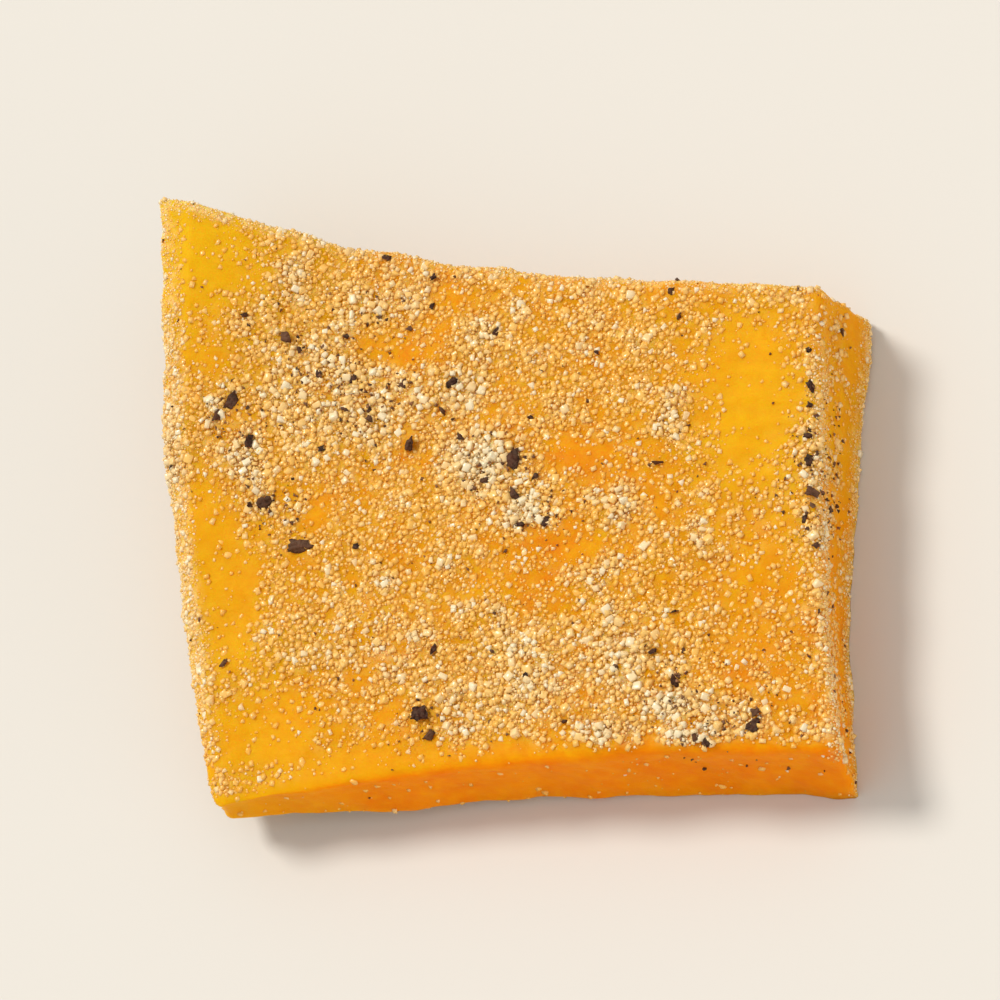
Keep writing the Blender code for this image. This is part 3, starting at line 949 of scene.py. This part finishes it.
# The smaller placed bits' lengths in millimetres, and their breadths as shares of them.
SMALL_LENGTHS, SMALL_BREADTHS = (0.45, 0.70), (0.60, 0.95)
# The pepper that no place is named for: a few bits of each kind of shard, and many specks.
LOOSE_SHARD = dict(corners=9, cuts=2, rough=0.4)
LOOSE_BITS = dict(
    count=9, sizes=(0.38 * MM, 0.65 * MM), tilt=0.35, gap=0.9, jitter=0.04, flat=(0.45, 0.75),
    sunk=-0.14, pile=0.2 * MM, tint=(0.06, 0.0, 0.14),
)
SPECK_SHARD = dict(corners=8)
PEPPER_SPECKS = dict(
    count=190, sizes=(0.12 * MM, 0.38 * MM), tilt=0.6, gap=0.8, jitter=0.12, flat=(0.4, 0.9),
    sunk=-0.20, pile=0.3 * MM, tint=(0.15, 0.0, 0.28),
)


def laid(normal, angle):
    """A rotation that sets Z on the surface's normal, and points X that way on the cut face."""
    aside = np.cross(normal, (math.cos(angle), math.sin(angle), 0.0))
    aside /= np.linalg.norm(aside)
    return np.stack([np.cross(aside, normal), aside, normal], axis=1)[None]


def placed_bit(flesh, normals, rng, shape, u, v, length, breadth, angle):
    """One bit of pepper at its own place on the cut face."""
    _, unit, points = flesh
    nearest = np.argmin((unit[:, 0] - u) ** 2 + (unit[:, 1] - v) ** 2 + (unit[:, 2] - 1.0) ** 2)
    normal = normals[nearest]
    height = breadth * rng.uniform(*BIT_HEIGHTS)
    scale = BIT_GROWTH * np.array([[length, breadth, height]])
    place = (points[nearest] + normal * height * BIT_OUT)[None]
    grain = grown(shape, place, laid(normal, math.radians(angle)), scale, BIT_JITTER, rng)
    return *grain, np.full(len(shape[0]), BIT_KERNEL * rng.random() ** 3)


def make_pepper(flesh, material):
    mesh, unit, points = flesh
    cover = pepper_cover(unit, points)
    normals = read_normals(mesh)
    rng = np.random.default_rng(PEPPER_SEED)
    bits = []
    for bit in BIG_PEPPER:
        bits.append(placed_bit(flesh, normals, rng, shard_shape(rng, **BIG_SHARD), *bit))
    for u, v in SMALL_PEPPER:
        length = rng.uniform(*SMALL_LENGTHS) * MM
        breadth = length * rng.uniform(*SMALL_BREADTHS)
        angle = rng.uniform(0.0, 180.0)
        shape = shard_shape(rng, **SMALL_SHARD)
        bits.append(placed_bit(flesh, normals, rng, shape, u, v, length, breadth, angle))
    specks = []
    for _ in range(SHARD_KINDS):
        bits.append(scatter(flesh, shard_shape(rng, **LOOSE_SHARD), cover, rng, **LOOSE_BITS))
        specks.append(scatter(flesh, shard_shape(rng, **SPECK_SHARD), cover, rng, **PEPPER_SPECKS))
    shown("pepper_bits", joined("pepper_bits", bits), material)
    shown("pepper_specks", joined("pepper_specks", specks), material)


# The studio

CAMERA_AZIMUTH = math.radians(49.0)
CAMERA_ELEVATION = math.radians(58.0)
CAMERA_ROLL = math.radians(-47.3)
CAMERA_LENS, SENSOR = 180.0, 36.0
FRAME_WIDTH = 52.0 * MM
AIM = Vector((0.0, -0.2, 3.6)) * MM
NEAREST_SEEN, FARTHEST_SEEN = 0.01, 10.0
# Where each light comes from: rightwards, upwards and towards the camera, in the picture.
KEY_FROM, KEY_COLOUR = (-0.75, 0.55, 0.35), (1.0, 0.97, 0.92)
KEY_STRENGTH, KEY_ANGLE = 2.4, math.radians(18.0)
FILL_FROM, FILL_COLOUR = (0.95, -0.50, 0.25), (1.0, 0.98, 0.95)
FILL_STRENGTH, FILL_ANGLE = 3.2, math.radians(70.0)
SKY = (0.72, 0.71, 0.69, 1.0)
BACKDROP = (0.88, 0.85, 0.78, 1.0)
FLOOR_COLOUR = (0.66, 0.63, 0.58, 1.0)
FLOOR_HALF = 3.0


def camera_turn():
    level_back = math.cos(CAMERA_ELEVATION)
    back = Vector(
        (
            math.sin(CAMERA_AZIMUTH) * level_back,
            -math.cos(CAMERA_AZIMUTH) * level_back,
            math.sin(CAMERA_ELEVATION),
        )
    )
    level = (-back).to_track_quat("-Z", "Y").to_matrix()
    return level @ Matrix.Rotation(CAMERA_ROLL, 3, "Z")


def make_camera():
    data = bpy.data.cameras.new("camera")
    data.lens, data.sensor_width = CAMERA_LENS, SENSOR
    data.clip_start, data.clip_end = NEAREST_SEEN, FARTHEST_SEEN
    camera = bpy.data.objects.new("camera", data)
    turn = camera_turn()
    distance = FRAME_WIDTH / SENSOR * CAMERA_LENS
    camera.matrix_world = Matrix.Translation(AIM + turn.col[2] * distance) @ turn.to_4x4()
    bpy.context.scene.collection.objects.link(camera)
    bpy.context.scene.camera = camera


def sun(name, place, strength, angle, colour):
    """A soft light from one direction, even over the whole floor."""
    right, up, back = camera_turn().col
    towards = place[0] * right + place[1] * up + place[2] * back
    data = bpy.data.lights.new(name, "SUN")
    data.energy, data.angle, data.color = strength, angle, colour
    light = bpy.data.objects.new(name, data)
    light.rotation_mode = "QUATERNION"
    light.rotation_quaternion = (-towards).to_track_quat("-Z", "Y")
    bpy.context.scene.collection.objects.link(light)


def make_lights():
    """The key light comes from the upper left of the picture, the fill from its lower right."""
    sun("key", KEY_FROM, KEY_STRENGTH, KEY_ANGLE, KEY_COLOUR)
    sun("fill", FILL_FROM, FILL_STRENGTH, FILL_ANGLE, FILL_COLOUR)


def make_world():
    """Even light all round. The camera sees it as a backdrop of the floor's tone."""
    world = bpy.data.worlds.new("studio")
    world.use_nodes = True
    tree = world.node_tree
    seen = tree.nodes.new("ShaderNodeLightPath").outputs["Is Camera Ray"]
    tree.links.new(mix_colour(tree, seen, SKY, BACKDROP), tree.nodes["Background"].inputs["Color"])
    bpy.context.scene.world = world


def make_floor():
    bm = bmesh.new()
    bmesh.ops.create_grid(bm, x_segments=1, y_segments=1, size=FLOOR_HALF)
    mesh = bpy.data.meshes.new("floor")
    bm.to_mesh(mesh)
    bm.free()
    floor = bpy.data.objects.new("floor", mesh)
    bpy.context.scene.collection.objects.link(floor)
    material, _, surface = new_material("floor")
    surface.inputs["Base Color"].default_value = FLOOR_COLOUR
    surface.inputs["Roughness"].default_value = 0.8
    surface.inputs["Specular IOR Level"].default_value = 0.1
    mesh.materials.append(material)


def main():
    make_camera()
    make_lights()
    make_world()
    make_floor()
    mottle, dust = mottle_group(), dust_group()
    flesh = make_flesh(flesh_material(mottle, dust))
    make_sugar(flesh, sugar_material(mottle))
    make_pepper(flesh, pepper_material(mottle, dust))
    bpy.context.scene.view_settings.view_transform = "Standard"


main()
